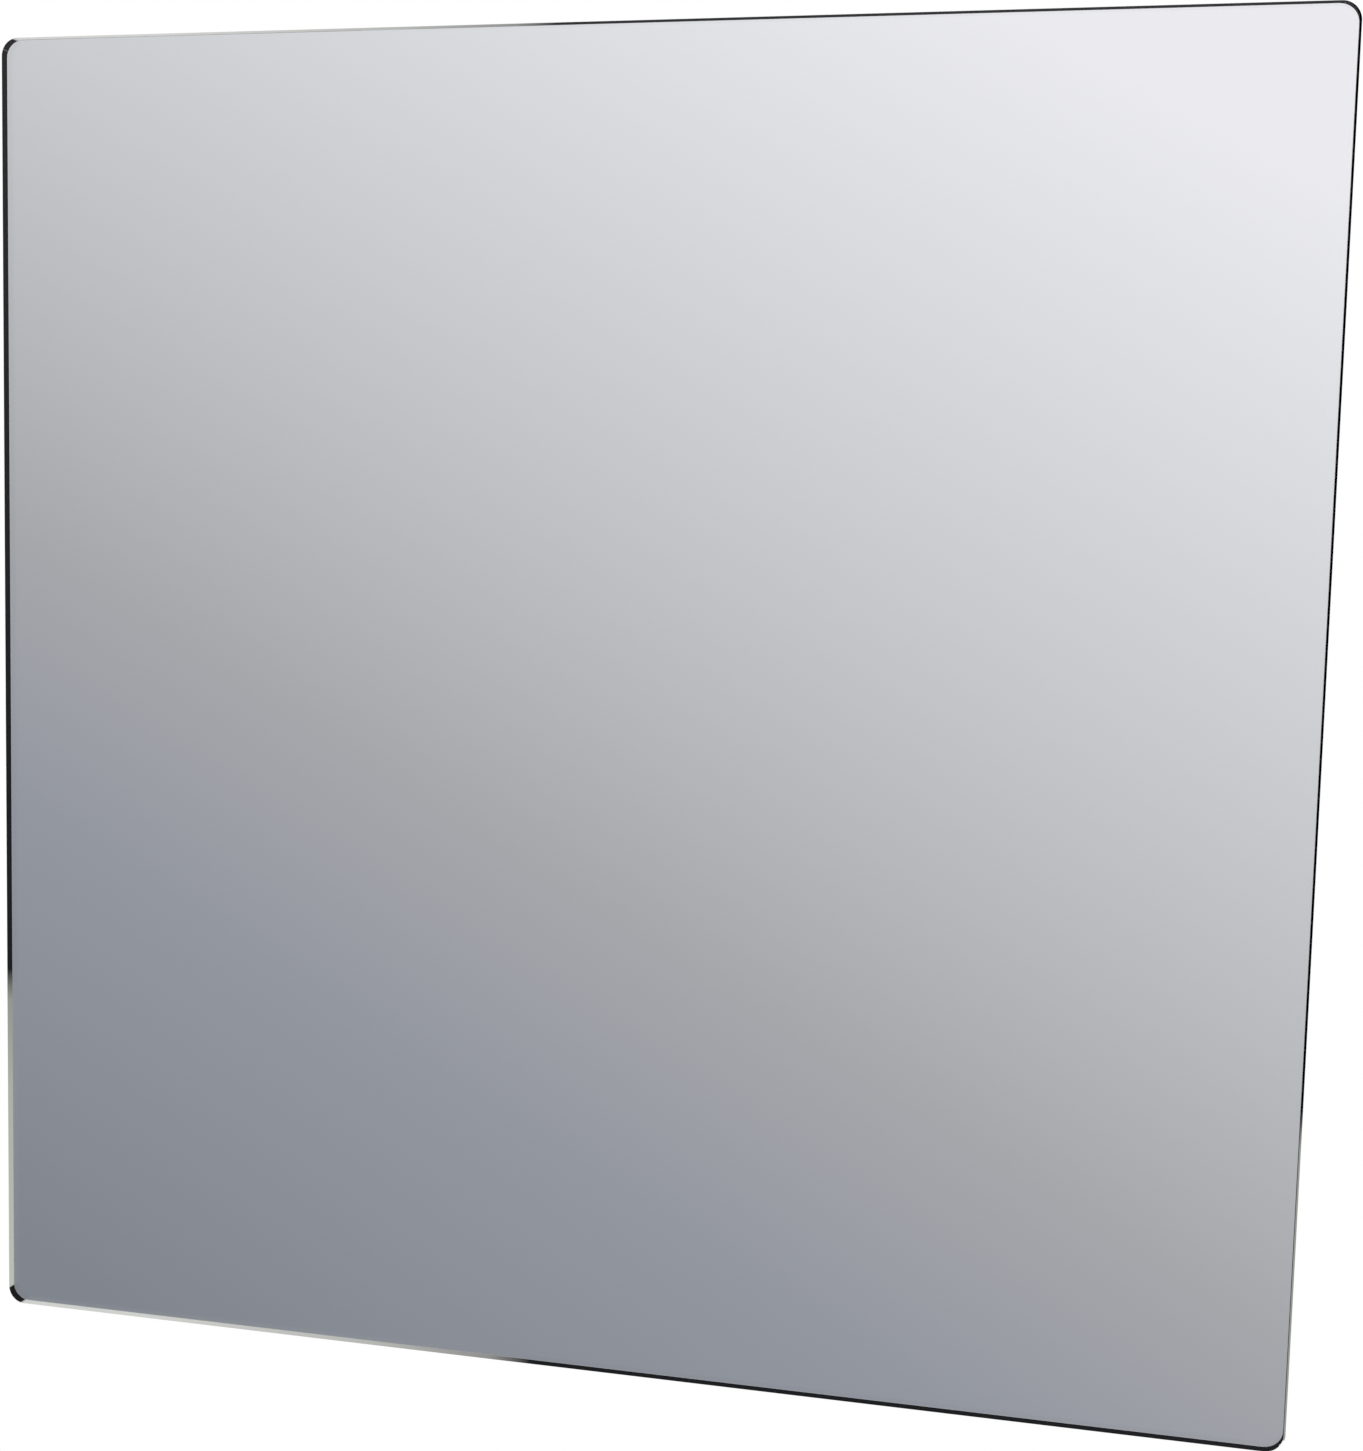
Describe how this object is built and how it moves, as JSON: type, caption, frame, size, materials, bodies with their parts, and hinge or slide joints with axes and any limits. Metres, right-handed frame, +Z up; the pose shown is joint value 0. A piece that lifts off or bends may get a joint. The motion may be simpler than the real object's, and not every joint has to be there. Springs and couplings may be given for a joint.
{
  "type": "traffic mirror",
  "caption": "Flat square frameless glass mirror with small rounded corners, on a wall bracket that pans and tilts and holds by friction.",
  "frame": {"origin": "centre of the wall plate's back face, on the wall", "axes": "+Y from the mirror to the wall (the mirror faces -Y at rest), +Z up, +X to the right as seen by someone facing the mirror"},
  "size_m": [0.6, 0.32, 0.6],
  "materials": {
    "clear_glass": "polished clear float glass",
    "silver": "silvered",
    "back_paint": "satin mirror-backing paint",
    "foam_tape": "closed-cell foam tape",
    "sealant": "tooled neutral-cure sealant",
    "board": "fine-textured solid board",
    "rubber_pad": "matt rubber sheet",
    "galvanised_steel": "hot-dip galvanised, spangled",
    "zinc_fasteners": "bright zinc plated",
    "spring_steel": "phosphated spring steel",
    "cast_block": "die-cast, bead blasted",
    "nylon": "natural nylon"
  },
  "bodies": {
    "wall_bracket": {"wall_plate": "galvanised_steel", "arm_tube": "galvanised_steel", "arm_gussets": "galvanised_steel", "pan_fork": "galvanised_steel", "pan_bolt": "zinc_fasteners", "pan_washers": "zinc_fasteners", "pan_disc_spring": "spring_steel", "pan_nut": "zinc_fasteners"},
    "swivel": {"swivel_block": "cast_block", "pan_bushes": "nylon", "tilt_bushes": "nylon"},
    "mirror": {"glass_pane": "clear_glass", "silver_layer": "silver", "back_paint": "back_paint", "bonding_tape": "foam_tape", "edge_sealant": "sealant", "backing_board": "board", "rubber_pad": "rubber_pad", "carrier_plate": "galvanised_steel", "tilt_cheeks": "galvanised_steel", "cheek_gussets": "galvanised_steel", "bracket_screws": "zinc_fasteners", "bracket_washers": "zinc_fasteners", "bracket_nuts": "zinc_fasteners", "tilt_bolt": "zinc_fasteners", "tilt_washers": "zinc_fasteners", "tilt_disc_spring": "spring_steel", "tilt_nut": "zinc_fasteners"}
  },
  "joints": [
    {"name": "pan", "type": "hinge", "parent": "wall_bracket", "child": "swivel", "pos_m": [0, -0.2, 0], "axis": [0, 0, 1], "range_deg": [-35, 35]},
    {"name": "tilt", "type": "hinge", "parent": "swivel", "child": "mirror", "pos_m": [0, -0.255, 0], "axis": [1, 0, 0], "range_deg": [-15, 25]}
  ]
}
